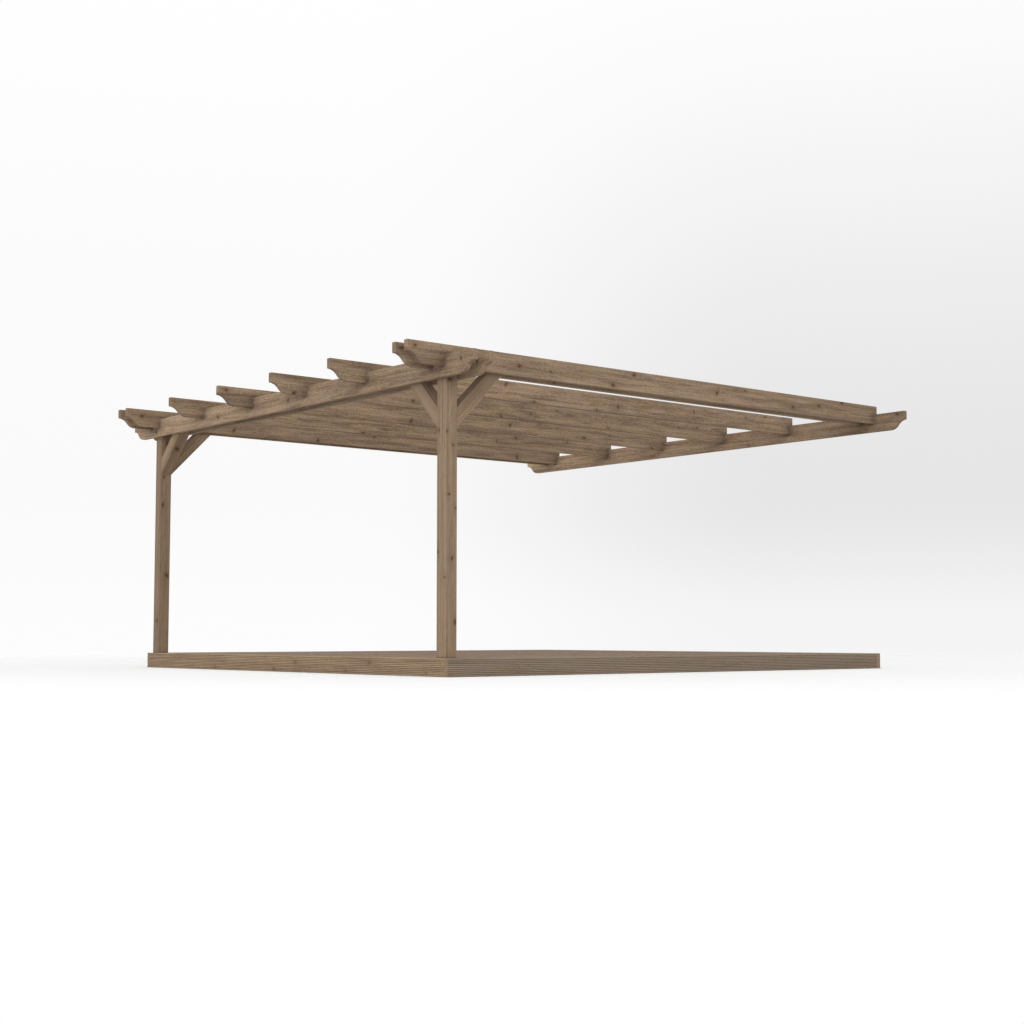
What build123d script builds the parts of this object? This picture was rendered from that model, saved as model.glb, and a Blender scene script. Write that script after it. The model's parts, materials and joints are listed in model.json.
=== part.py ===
from build123d import *
import math
import os

# Wall-mounted timber pergola on a low deck.
# Millimetres. +Z is up, -Y is the front with the two posts, +Y is the wall side.
# The origin lies on the ground, under the middle of the whole outline.

# Driving dimensions: the timber sections
POST_SIDE = 95.0
POST_ARRIS = 4.0
BOARD_THICKNESS = 38.0
BOARD_DEPTH = 145.0
BRACE_DEPTH = 92.0
JOIST_THICKNESS = 45.0
DECK_BOARD_THICKNESS = 28.0

# Driving dimensions: the deck
DECK_WIDTH = 4220.0
DECK_DEPTH = 4430.0
DECK_HEIGHT = 122.0
DECK_BOARD_PITCH = 145.0
DECK_BOARD_GAP = 5.0
DECK_BOARD_END_GAP = 2.0
JOIST_COUNT = 9
DECK_TO_WALL = 40.0

# Driving dimensions: the frame over the deck
POST_FRONT_INSET = 20.0
POST_SIDE_INSET = 58.0
HEADROOM = 1828.0
RAFTER_OVERHANG = 300.0
BEAM_OVERHANG = 300.0
RAFTER_BAYS = 5
LAP_HEIGHT = 77.0
LAP_CLEARANCE = 0.4
POST_TOP_DROP = 20.0

# Driving dimensions: the shaped ends and the knee braces
SCROLL_LENGTH = 150.0
SCROLL_HEIGHT = 75.0
BRACE_REACH = 318.0
BRACE_TOP_DROP = 25.0

# Heights
deck_top = DECK_HEIGHT
joist_top = deck_top - DECK_BOARD_THICKNESS
beam_bottom = deck_top + HEADROOM
beam_top = beam_bottom + BOARD_DEPTH
rafter_bottom = beam_top - LAP_HEIGHT
rafter_top = rafter_bottom + BOARD_DEPTH
lap_seat = rafter_bottom + LAP_HEIGHT / 2
post_top = rafter_top - POST_TOP_DROP
brace_foot = beam_bottom - BRACE_REACH

# Places from front to wall, first counted from the deck's front edge
beam_front_offset = POST_FRONT_INSET - BOARD_THICKNESS
rafter_front_offset = beam_front_offset - RAFTER_OVERHANG
wall_offset = DECK_DEPTH + DECK_TO_WALL
deck_front = -(rafter_front_offset + wall_offset) / 2
deck_back = deck_front + DECK_DEPTH
wall_face = deck_front + wall_offset
rafter_front = deck_front + rafter_front_offset
post_front = deck_front + POST_FRONT_INSET
post_back = post_front + POST_SIDE

# Places across, on the right-hand half
deck_side = DECK_WIDTH / 2
fascia_inner = deck_side - BOARD_THICKNESS
post_outer = deck_side - POST_SIDE_INSET
post_inner = post_outer - POST_SIDE
beam_end = post_outer + BOARD_THICKNESS + BEAM_OVERHANG

# Each beam is given by the face nearer the front, each rafter by the face nearer the left.
beam_places = {
    "front_beam_outer": post_front - BOARD_THICKNESS,
    "front_beam_inner": post_back,
    "wall_beam": wall_face - BOARD_THICKNESS,
}
right_inner_rafter = post_inner - BOARD_THICKNESS
rafter_step = (2 * right_inner_rafter + BOARD_THICKNESS) / RAFTER_BAYS
rafter_places = {
    "right_rafter_outer": post_outer,
    "right_rafter_inner": right_inner_rafter,
    "left_rafter_inner": -post_inner,
    "left_rafter_outer": -post_outer - BOARD_THICKNESS,
}
for number in range(1, RAFTER_BAYS):
    rafter_places[f"rafter_{number}"] = right_inner_rafter - number * rafter_step


def span(low_x, high_x, low_y, high_y, low_z, high_z):
    """A plain squared timber between six planes."""
    size = (high_x - low_x, high_y - low_y, high_z - low_z)
    middle = ((low_x + high_x) / 2, (low_y + high_y) / 2, (low_z + high_z) / 2)
    return Pos(*middle) * Box(*size)


def rectangle(low, high, bottom, top):
    """An upright rectangle on a side-view sketch: along the board, then height."""
    return Pos((low + high) / 2, (bottom + top) / 2) * Rectangle(high - low, top - bottom)


def scroll_waste():
    """The waste under an ogee end: a cove that runs into a round, with the end face at zero."""
    half_length = SCROLL_LENGTH / 2
    half_height = SCROLL_HEIGHT / 2
    radius = (half_length**2 + half_height**2) / SCROLL_HEIGHT
    turn = math.degrees(2 * math.atan2(half_height, half_length))
    cove = JernArc(start=(0, SCROLL_HEIGHT), tangent=(1, 0), radius=radius, arc_size=-turn)
    rounding = JernArc(start=cove @ 1, tangent=cove % 1, radius=radius, arc_size=turn)
    end_face = Line((0, 0), (0, SCROLL_HEIGHT))
    underside = Line(rounding @ 1, (0, 0))
    return make_face([end_face, cove, rounding, underside])


def notches(places, bottom, top):
    """Cross-lap notches for boards whose lower faces lie at the given places."""
    return [
        rectangle(place - LAP_CLEARANCE, place + BOARD_THICKNESS + LAP_CLEARANCE, bottom, top)
        for place in places
    ]


def make_rafter(left_face):
    """A rafter: ogee front end, square wall end, notched from below over every beam."""
    outline = rectangle(rafter_front, wall_face, rafter_bottom, rafter_top)
    outline -= Pos(rafter_front, rafter_bottom) * scroll_waste()
    for notch in notches(beam_places.values(), rafter_bottom, lap_seat):
        outline -= notch
    return extrude(Plane.YZ.offset(left_face) * outline, amount=BOARD_THICKNESS)


def make_beam(front_face):
    """A beam: ogee at both ends, notched from above for every rafter."""
    outline = rectangle(-beam_end, beam_end, beam_bottom, beam_top)
    left_waste = Pos(-beam_end, beam_bottom) * scroll_waste()
    outline -= left_waste
    outline -= mirror(left_waste, about=Plane.YZ)
    for notch in notches(rafter_places.values(), lap_seat, beam_top):
        outline -= notch
    return extrude(Plane.XZ.offset(-front_face) * outline, amount=-BOARD_THICKNESS)


def make_post(inner_face):
    """A square post with eased arrises, standing on the deck and clasped by the doubled boards."""
    section = RectangleRounded(POST_SIDE, POST_SIDE, POST_ARRIS)
    middle = (inner_face + POST_SIDE / 2, post_front + POST_SIDE / 2, deck_top)
    return Pos(*middle) * extrude(section, amount=post_top - deck_top)


def brace_outline(top):
    """A knee brace at 45 degrees: plumb cut at the post, level cut between the doubled boards."""
    plumb_cut = BRACE_DEPTH * math.sqrt(2)
    lower_run = top - brace_foot
    upper_run = lower_run - plumb_cut
    corners = [
        (0, brace_foot),
        (lower_run, top),
        (upper_run, top),
        (0, brace_foot + plumb_cut),
    ]
    return make_face(Polyline(*corners, close=True))


def make_beam_braces():
    """The braces along the front: from each post's inner face up between the two front beams."""
    outline = Pos(-post_inner, 0) * brace_outline(beam_top - BRACE_TOP_DROP)
    left = extrude(Plane.XZ.offset(-post_front) * outline, amount=-POST_SIDE)
    return {"left_beam_brace": left, "right_beam_brace": mirror(left, about=Plane.YZ)}


def make_rafter_braces():
    """The braces towards the wall: from each post's back face up between the doubled end rafters."""
    outline = Pos(post_back, 0) * brace_outline(rafter_top - BRACE_TOP_DROP)
    right = extrude(Plane.YZ.offset(post_inner) * outline, amount=POST_SIDE)
    return {"left_rafter_brace": mirror(right, about=Plane.YZ), "right_rafter_brace": right}


def make_deck_frame():
    """Fascia boards on edge: the sides run out to the front, the back board closes both sides."""
    back_face = deck_back - BOARD_THICKNESS
    front_face = deck_front + BOARD_THICKNESS
    return {
        "deck_front_fascia": span(-fascia_inner, fascia_inner, deck_front, front_face, 0, deck_top),
        "deck_back_fascia": span(-deck_side, deck_side, back_face, deck_back, 0, deck_top),
        "deck_left_fascia": span(-deck_side, -fascia_inner, deck_front, back_face, 0, deck_top),
        "deck_right_fascia": span(fascia_inner, deck_side, deck_front, back_face, 0, deck_top),
    }


def make_joists():
    """Joists from the front fascia to the back one, evenly spread between the side fascias."""
    joists = {}
    step = (2 * fascia_inner - JOIST_THICKNESS) / (JOIST_COUNT - 1)
    for number in range(JOIST_COUNT):
        left = -fascia_inner + number * step
        joists[f"deck_joist_{number + 1}"] = span(
            left,
            left + JOIST_THICKNESS,
            deck_front + BOARD_THICKNESS,
            deck_back - BOARD_THICKNESS,
            0,
            joist_top,
        )
    return joists


def make_deck_boards():
    """Boards along the front, laid on the joists with even gaps inside the fascia."""
    inside = DECK_DEPTH - 2 * BOARD_THICKNESS
    count = round(inside / DECK_BOARD_PITCH)
    pitch = (inside - DECK_BOARD_GAP) / count
    half_length = fascia_inner - DECK_BOARD_END_GAP
    boards = []
    for number in range(count):
        front = deck_front + BOARD_THICKNESS + DECK_BOARD_GAP + number * pitch
        back = front + pitch - DECK_BOARD_GAP
        boards.append(span(-half_length, half_length, front, back, joist_top, deck_top))
    return Compound(boards)


pieces = {
    "left_post": make_post(-post_outer),
    "right_post": make_post(post_inner),
    "deck_boards": make_deck_boards(),
}
pieces.update({name: make_beam(place) for name, place in beam_places.items()})
pieces.update({name: make_rafter(place) for name, place in rafter_places.items()})
pieces.update(make_beam_braces())
pieces.update(make_rafter_braces())
pieces.update(make_deck_frame())
pieces.update(make_joists())

os.makedirs("parts", exist_ok=True)
for name, shape in pieces.items():
    export_step(shape, f"parts/{name}.step")
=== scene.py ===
import json
import math
import random

import bmesh
import bpy
from mathutils import Matrix, Vector


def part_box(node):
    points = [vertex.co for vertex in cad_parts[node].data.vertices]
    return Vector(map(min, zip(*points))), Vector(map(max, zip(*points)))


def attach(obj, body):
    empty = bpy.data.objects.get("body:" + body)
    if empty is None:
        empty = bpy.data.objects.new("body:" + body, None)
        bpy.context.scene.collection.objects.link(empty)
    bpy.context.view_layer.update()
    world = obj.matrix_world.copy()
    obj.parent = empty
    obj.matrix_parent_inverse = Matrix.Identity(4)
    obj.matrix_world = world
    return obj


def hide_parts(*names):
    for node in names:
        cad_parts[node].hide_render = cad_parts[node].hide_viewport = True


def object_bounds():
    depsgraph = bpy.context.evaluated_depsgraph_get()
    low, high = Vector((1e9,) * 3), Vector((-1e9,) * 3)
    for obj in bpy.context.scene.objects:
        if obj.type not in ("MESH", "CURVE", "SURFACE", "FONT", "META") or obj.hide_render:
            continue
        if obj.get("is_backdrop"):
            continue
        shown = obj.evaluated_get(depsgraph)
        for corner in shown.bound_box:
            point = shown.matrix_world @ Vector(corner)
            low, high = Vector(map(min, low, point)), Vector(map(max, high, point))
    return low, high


# A wall-mounted timber pergola on a low reeded deck, in brown stained softwood.
# Metres. +Z is up, -Y is the front with the two posts, +Y is the wall side.

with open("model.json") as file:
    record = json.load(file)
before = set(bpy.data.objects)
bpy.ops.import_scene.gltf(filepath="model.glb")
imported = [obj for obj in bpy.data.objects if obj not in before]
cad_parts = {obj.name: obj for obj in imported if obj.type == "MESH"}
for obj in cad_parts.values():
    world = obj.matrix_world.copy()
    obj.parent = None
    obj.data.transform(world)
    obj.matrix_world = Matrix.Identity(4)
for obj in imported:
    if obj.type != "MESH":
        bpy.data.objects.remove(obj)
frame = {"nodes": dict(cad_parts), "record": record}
cad_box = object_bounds()

# How the timber is machined
EASED_EDGE = 0.0025
EASED_EDGE_STEPS = 3
POST_ARRIS = 0.004
POST_ARRIS_STEPS = 5
ROUND_PROFILE = 0.5
# How high the painted contact shadow at a post's foot reaches
FOOT_SHADE = 0.010
SHARP_ANGLE = math.radians(35)
FLAT_ANGLE = math.radians(1)
CORNER_ANGLE = math.radians(25)
REED_SHARP_ANGLE = math.radians(50)
SAME_POINT = 0.00001
ON_THE_CUT = 0.000001

# The reeded boards of the deck and its fascia
DECK_BOARD_GAP = 0.005
DECK_BOARD_PITCH = 0.145
DECK_REED_COLUMNS = 8
DECK_MARGIN_COLUMNS = 12
# Deck boards are darker in their grooves, with grime and painted shade, and along both edges
DECK_REEDING = {
    "Lengths": 6, "Reeds": 11, "Groove width": 0.0065, "Groove depth": 0.003, "Edge round": 0.004,
    "Lower grime": 0.004, "Upper grime": 0.004, "Unevenness": 0.0006, "Seed": 4,
}
# The fascia's lower dark edge is a painted contact shadow along its bottom
FASCIA_REEDING = {
    "Lengths": 2, "Reeds": 9, "Profile step": 0.001, "First reed": 0.013, "Reed pitch": 0.012,
    "Groove width": 0.006, "Groove depth": 0.004, "Edge round": 0.004, "Lower grime": 0.008,
    "Upper grime": 0.0001, "Boards": 1, "Board pitch": 0.0, "Unevenness": 0.0, "Seed": 1,
}

# The screws that hold the deck boards down
SCREW_SINK = 0.0010
SCREW_SHAPE = {
    "Head radius": 0.0042, "Sides": 12, "Depth": 0.005, "Socket depth": 0.0016, "Socket share": 0.5,
    "Seed": 2,
}

# Light and floor, in shares of plain white, watts and metres
DOME_LIGHT = 0.88
KEY_PLACE = Vector((23.4, -27.3, 15.0))
KEY_WATTS = 5600.0
KEY_SIDE = 24.0
FLOOR_SEEN = (0.955, 0.955, 0.955, 1.0)
FLOOR_BOUNCE = (0.62, 0.62, 0.62, 1.0)
FLOOR_RADIUS = 60.0
FLOOR_SIDES = 96
FLOOR_FADE = (4.0, 11.0)
WHITE = (1.0, 1.0, 1.0, 1.0)

# How the wall seen behind is dimmed: how much, more to the right, and where in the sight's sideways
# and upward share it sets in, fades out above, weakens below and stops
WALL_DIP = 0.045
WALL_FALL = 0.16
WALL_ASIDE = (-0.1, 0.17)
WALL_HIGH = (0.45, 0.09)
WALL_LOW = (0.0, 0.085)
WALL_LOW_SHARE = 0.45
WALL_FOOT = (-0.035, -0.005)

# How knots lie in the timber
KNOT_SPACING = 0.55
KNOT_SMALL = 0.0065
KNOT_LARGE = 0.0135
KNOTS_ENOUGH = 3
CLEAR_SHARE = 0.25
KNOT_ROOM = 0.2
KNOT_REACH = 0.42
NO_KNOT = (0.0, 0.0, 0.0, 1)
TIMBER_SHIFT = 10.0
SQUARE_TIMBER = 0.06
END_FACE = 0.7
FACE_TIE = 0.01

# Where the heart of the tree lies: near a post's middle, or beside a board
HEART_IN_POST = 0.02
HEART_ACROSS_BOARD = 0.04
HEART_BESIDE_BOARD = (0.05, 0.10)

# How the names of timbers end that have no knots but those shown
CLEAR_TIMBERS = ("brace", "left_fascia", "right_fascia")

# How dark single timbers are, where the photograph shows it: partly the stain each has taken, partly
# painted shade and light for how the light falls on it
TIMBER_TONES = {
    "front_beam_outer": 1.06, "front_beam_inner": 1.00, "wall_beam": 1.08,
    "right_post": 0.97, "left_post": 0.85, "right_beam_brace": 0.93, "left_beam_brace": 1.03,
    "right_rafter_outer": 0.91, "rafter_1": 0.97, "rafter_2": 0.90, "rafter_3": 0.93, "rafter_4": 0.90,
    "left_rafter_inner": 0.87, "deck_right_fascia": 1.0, "deck_front_fascia": 1.02,
}
TONE_SPREAD = 0.05
BOARD_TONE_SPREAD = 0.10

# Painted light and shade: how the tone changes from a beam's left end to its right, and from a brace's
# lower edge to its upper
PAINTED_LIGHT_LEANS = {"front_beam_outer": -0.40, "wall_beam": -0.56}
BRACE_PAINTED_SHADE = -0.22

# Painted light: how much paler a beam's sawn ends are painted, and all undersides
END_PAINTED_LIGHT = {"front_beam_outer": 1.24}
UNDERSIDE_PAINTED_LIGHT = 1.12
FACING_DOWN = 0.6

# Painted shade and light on the rafters where they stand out in front of the beams, mixed with bands of
# the wood's own colour: shares of their tone, above and below a line along them
OVERHANG_LINE = 0.66
OVERHANG_BLEND = 0.012
OVERHANG_SHADING = (0.90, 0.95)
OVERHANG_SHADINGS = {
    "right_rafter_outer": (1.27, 0.76),
    "rafter_1": (0.86, 1.01),
    "rafter_2": (0.87, 1.07),
    "rafter_3": (1.20, 0.75),
    "rafter_4": (0.96, 1.00),
    "left_rafter_inner": (1.11, 1.03),
}

# The camera, as the photograph was taken
CAMERA_PLACE = Vector((10.2596, -8.2299, 0.2685))
CAMERA_FORWARD = Vector((-0.77079, 0.63234, 0.07768))
CAMERA_LENS = 55.66
SENSOR_WIDTH = 36.0
IMAGE_SIDE = 1024
CAMERA_REACH = 200.0

# Knots that the photograph shows, as pixels on the face that looks to the camera, some with a radius
KNOTS_ON_RIGHT_FACES = {
    "right_rafter_outer": [
        (415, 345), (519, 366), (551, 372, 0.006), (613, 385), (634, 375), (717, 393),
        (745, 391, 0.006), (793, 407), (819, 406), (842, 403),
    ],
    "right_rafter_inner": [(402, 348)],
    "rafter_1": [
        (506, 384), (534, 402, 0.008), (597, 410, 0.006), (618, 407, 0.009), (694, 412),
        (746, 418, 0.006), (765, 417, 0.006),
    ],
    "rafter_2": [
        (294, 393), (413, 401), (501, 416, 0.010), (531, 414), (557, 411, 0.006), (608, 428, 0.006),
        (679, 428, 0.0065), (697, 428),
    ],
    "rafter_3": [
        (226, 390), (337, 417), (411, 421), (510, 425), (540, 424, 0.006), (584, 438), (610, 436, 0.006),
        (652, 449),
    ],
    "rafter_4": [(363, 433), (497, 441, 0.006), (516, 438, 0.008), (567, 443, 0.006)],
    "left_rafter_inner": [(142, 416), (234, 430), (318, 441), (374, 437), (517, 457)],
    # The first, large knot on the right post is drawn on a dark mark just under the beam
    "right_post": [
        (450, 379, 0.013), (447, 431, 0.006), (453, 445, 0.006), (449, 494, 0.007), (456, 508, 0.006),
        (452, 558), (455, 622),
    ],
    "left_post": [(164, 477)],
}
KNOTS_ON_FRONT_FACES = {
    "front_beam_outer": [(461, 358), (368, 381), (288, 400), (218, 417), (156, 432)],
    "front_beam_inner": [(477, 361)],
    "wall_beam": [(897, 414), (786, 434, 0.009), (749, 446, 0.006), (672, 458, 0.006), (558, 469, 0.007)],
    "right_post": [(439, 430, 0.007), (438, 552, 0.007), (445, 577)],
    "deck_front_fascia": [(215, 667), (274, 669), (295, 662), (346, 671), (369, 663), (426, 673)],
}
KNOTS_UNDER_BRACES = {"left_beam_brace": [(177, 449, 0.014)]}

# Marks in the grain: length and width in metres, detail, roughness, and where they begin and are full
GRAIN_MARKS = {
    "Band": (1.4, 0.05, 2.0, 0.5, 0.36, 0.64),
    "Cloud": (0.3, 0.035, 3.0, 0.55, 0.36, 0.64),
    "Streak": (0.5, 0.014, 3.0, 0.6, 0.3, 0.7),
    "Fine streak": (0.22, 0.007, 2.0, 0.5, 0.34, 0.66),
    "Mottle": (0.024, 0.009, 2.0, 0.6, 0.3, 0.7),
    "Hue": (0.16, 0.022, 3.0, 0.65, 0.34, 0.66),
    "Gold": (0.18, 0.045, 2.0, 0.6, 0.46, 0.7),
    "Fibre": (0.05, 0.0014, 2.0, 0.6, 0.25, 0.75),
    "Fleck": (0.016, 0.007, 1.0, 0.5, 0.55, 0.66),
    "Fleck patch": (0.2, 0.03, 1.0, 0.5, 0.5, 0.62),
    "Dry patch": (0.3, 0.05, 1.0, 0.5, 0.60, 0.68),
}
CRACKS = (0.6, 0.022, 1.0, 0.4)
CRACK_EDGE = (0.012, 0.004)
HEART_WANDER = (1.0, 0.16, 2.0, 0.5)
WANDER_REACH = 0.05
LATE_WOOD = (0.25, 0.9)
LATE_WOOD_END = (1.0, 0.92)
YEAR_SPREAD = 0.7

# A knot's rim waves, and the knot leans by its place. Edges are counted in radii from its middle.
LEAST_KNOT = 0.001
KNOT_WAVE = (2.0, 0.6, 95.0)
KNOT_WAVE_REACH = 2.0
KNOT_LOT = (0.0, 0.5, 9.0)
KNOT_TURN = 7.0
KNOT_LONGER = 1.6
FLAME_LONGER = 4.0
KNOT_EDGE = (1.25, 0.45)
RIM_INSIDE = (0.5, 1.1)
RIM_OUTSIDE = (2.4, 1.1)
HALO_EDGE = (4.0, 0.8)

# What the meshes tell the grain and the stain: the input and the attribute's name
GRAIN_PLACES = {"Place": "grain", "Knot place": "knot", "Knot side": "knot_side"}
STAIN_AMOUNTS = {"Edge": "arris", "End cut": "end_cut", "Groove": "groove", "Tone": "tone"}

# What the grain gives to the stain, how much of each the stain takes up, and how high each stands
GRAIN_MASKS = (
    "Ring", "Streak", "Fine streak", "Mottle", "Cloud", "Band", "Hue", "Gold", "Fibre", "Fleck", "Check",
    "Knot", "Knot rim", "Knot halo",
)
GRAIN_SIZES = ("Ring width", "Fibre length", "Fineness")
UPTAKE_SHARES = {
    "Band": 0.23, "Cloud": 0.20, "Streak": 0.20, "Fine streak": 0.20, "Mottle": 0.30, "Ring": 0.20,
    "Fibre": 0.07,
}
UPTAKE_MIDDLE = 0.65
RELIEF_SHARES = {"Ring": 0.35, "Fibre": 0.4, "Fine streak": 0.3, "Check": -1.5, "Knot": 0.3}
RELIEF_STRENGTH = 0.5
RELIEF_HEIGHT = 0.001

# What lies over the stain, in turn: the mask, how much of the colour it lays on, and the colour
STAIN_COVERS = (
    ("End cut", 0.7, "End wood"),
    ("Knot halo", 0.35, "Deep"),
    ("Fleck", 0.6, "Knot rim wood"),
    ("Knot rim", 0.65, "Knot rim wood"),
    ("Knot", 0.88, "Knot wood"),
    ("Check", 0.7, "Knot wood"),
)
# Grime and painted shade laid over the stain: in the grooves, at posts' feet, along the fascia's bottom
# and round the laps
DIRT_AND_SHADE_COVERS = (("Groove", 0.7, "Grime"), ("Lap", 0.45, "Grime"))
# Edges are painted paler: partly wear, partly a painted highlight
RUBBED_AND_HIGHLIT_STREAKS = 0.4
RUBBED_AND_HIGHLIT_LEAST = 0.05
DRY_ROUGHNESS = 0.82
STAIN_SHEEN = -0.08
END_CUT_DULLNESS = 0.06
WOOD_GLOSS = 0.25

# Painted shade round the laps: a wide faint patch and a patchy dark corner, shorter up, down and along a
# beam
LAP_PATCH_REACH = 0.22
LAP_PATCH_SHARE = 0.42
LAP_CORNER_REACH = 0.075
LAP_CORNER_LEAST = 0.3
LAP_ABOVE = 2.0
LAP_BELOW = 4.0
LAP_ALONG_BEAM = 1.7

# Each finish: pale and deep wood, sawn ends, contrast, ring width, and how long and fine its fibres are
SAWN_END = (0.245, 0.173, 0.114)
FASCIA_END = (0.300, 0.200, 0.125)
STAINS = {
    "post_wood": ((0.356, 0.264, 0.184), (0.178, 0.124, 0.084), SAWN_END, 1.2, 0.003, 2.4, 2.6),
    "beam_wood": ((0.378, 0.280, 0.197), (0.164, 0.113, 0.077), SAWN_END, 1.5, 0.0045, 1.0, 1.0),
    "fascia_wood": ((0.450, 0.338, 0.230), (0.208, 0.147, 0.099), FASCIA_END, 1.0, 0.004, 1.2, 2.0),
    "deck_board_wood": ((0.300, 0.224, 0.162), (0.155, 0.111, 0.079), SAWN_END, 1.1, 0.004, 1.6, 1.0),
    "joist_wood": ((0.340, 0.248, 0.170), (0.165, 0.111, 0.074), SAWN_END, 1.5, 0.005, 1.0, 1.0),
    "side_fascia_wood": ((0.325, 0.261, 0.204), (0.202, 0.160, 0.125), FASCIA_END, 0.6, 0.004, 1.6, 1.0),
}

# Screw steel: bright and dulled, the scuffs' noise, and its roughness
BRIGHT_STEEL = (0.34, 0.32, 0.29, 1.0)
DULL_STEEL = (0.16, 0.14, 0.12, 1.0)
STEEL_SCUFFS = (3.0, 0.6, 180.0)
STEEL_ROUGHNESS = 0.3
STEEL_DULLNESS = 0.35


# Small helpers for node trees


FLOAT = "NodeSocketFloat"
WHOLE = "NodeSocketInt"
VECTOR = "NodeSocketVector"
COLOUR = "NodeSocketColor"
SHAPE = "NodeSocketGeometry"
FINISH = "NodeSocketMaterial"
KINDS = {float: FLOAT, int: WHOLE, tuple: COLOUR}


def sign(operation):
    """What a sign between two values stands for."""
    return lambda value, other: value.wiring.calc(operation, value, other)


class Value:
    """An output that can stand in a formula, where each sign lays a node."""

    __add__ = sign("ADD")
    __sub__ = sign("SUBTRACT")
    __mul__ = sign("MULTIPLY")
    __truediv__ = sign("DIVIDE")
    __pow__ = sign("POWER")

    def __init__(self, wiring, socket):
        self.wiring = wiring
        self.socket = socket


class Wiring:
    """Lays nodes into one tree and joins them, so that a formula stays one line."""

    def __init__(self, tree):
        self.tree = tree

    def feed(self, socket, value):
        """Joins an output to a socket, or sets the socket's own value."""
        if isinstance(value, Value):
            value = value.socket
        if isinstance(value, bpy.types.NodeSocket):
            self.tree.links.new(value, socket)
        else:
            socket.default_value = value

    def feed_all(self, node, values):
        """Feeds a node's inputs, each by its name or number."""
        for label, value in values.items():
            self.feed(node.inputs[label], value)

    def node(self, kind, values=None, **settings):
        """A new node with its settings and then its inputs."""
        made = self.tree.nodes.new(kind)
        for name, value in settings.items():
            setattr(made, name, value)
        self.feed_all(made, values or {})
        return made

    def result(self, kind, values, **settings):
        """A new node's first output."""
        return Value(self, self.node(kind, values, **settings).outputs[0])

    def calc(self, operation, *values, clamp=False):
        numbered = dict(enumerate(values))
        return self.result("ShaderNodeMath", numbered, operation=operation, use_clamp=clamp)

    def vector(self, operation, *values):
        made = self.node("ShaderNodeVectorMath", dict(enumerate(values)), operation=operation)
        return Value(self, made.outputs[1 if operation in ("LENGTH", "DOT_PRODUCT") else 0])

    def scale(self, vector, factor):
        return self.result("ShaderNodeVectorMath", {0: vector, "Scale": factor}, operation="SCALE")

    def split(self, vector):
        parts = self.node("ShaderNodeSeparateXYZ", {0: vector}).outputs
        return [Value(self, part) for part in parts]

    def join(self, x, y, z):
        return self.result("ShaderNodeCombineXYZ", {0: x, 1: y, 2: z})

    def ramp(self, value, start, end, low=0.0, high=1.0):
        """A smooth step: low up to start, high from end on."""
        ends = {"Value": value, "From Min": start, "From Max": end, "To Min": low, "To Max": high}
        return self.result("ShaderNodeMapRange", ends, interpolation_type="SMOOTHSTEP")

    def noise(self, vector, detail, roughness, scale=1.0):
        looks = {"Vector": vector, "Scale": scale, "Detail": detail, "Roughness": roughness}
        return self.result("ShaderNodeTexNoise", looks, noise_dimensions="3D")

    def blend(self, factor, first, second, way="MIX"):
        """Mixes two colours."""
        given = {0: factor, 6: first, 7: second}
        return self.node("ShaderNodeMix", given, data_type="RGBA", blend_type=way).outputs[2]

    def attribute(self, name, output):
        return self.node("ShaderNodeAttribute", attribute_name=name).outputs[output]


def new_tree(name, kind, inputs, outputs):
    """A node group whose named inputs have a value or a kind: its wiring, inputs and output node."""
    tree = bpy.data.node_groups.new(name, kind)
    for label, given in inputs.items():
        socket_kind = KINDS.get(type(given), given)
        socket = tree.interface.new_socket(label, in_out="INPUT", socket_type=socket_kind)
        if socket_kind != given:
            socket.default_value = given
    for label, socket_kind in outputs.items():
        tree.interface.new_socket(label, in_out="OUTPUT", socket_type=socket_kind)
    wiring = Wiring(tree)
    given = {socket.name: Value(wiring, socket) for socket in wiring.node("NodeGroupInput").outputs}
    return wiring, given, wiring.node("NodeGroupOutput")


def new_material(name):
    """A new material, its wiring and its surface."""
    material = bpy.data.materials.new(name)
    material.use_nodes = True
    return material, Wiring(material.node_tree), material.node_tree.nodes["Principled BSDF"]


# Wood finishes


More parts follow.
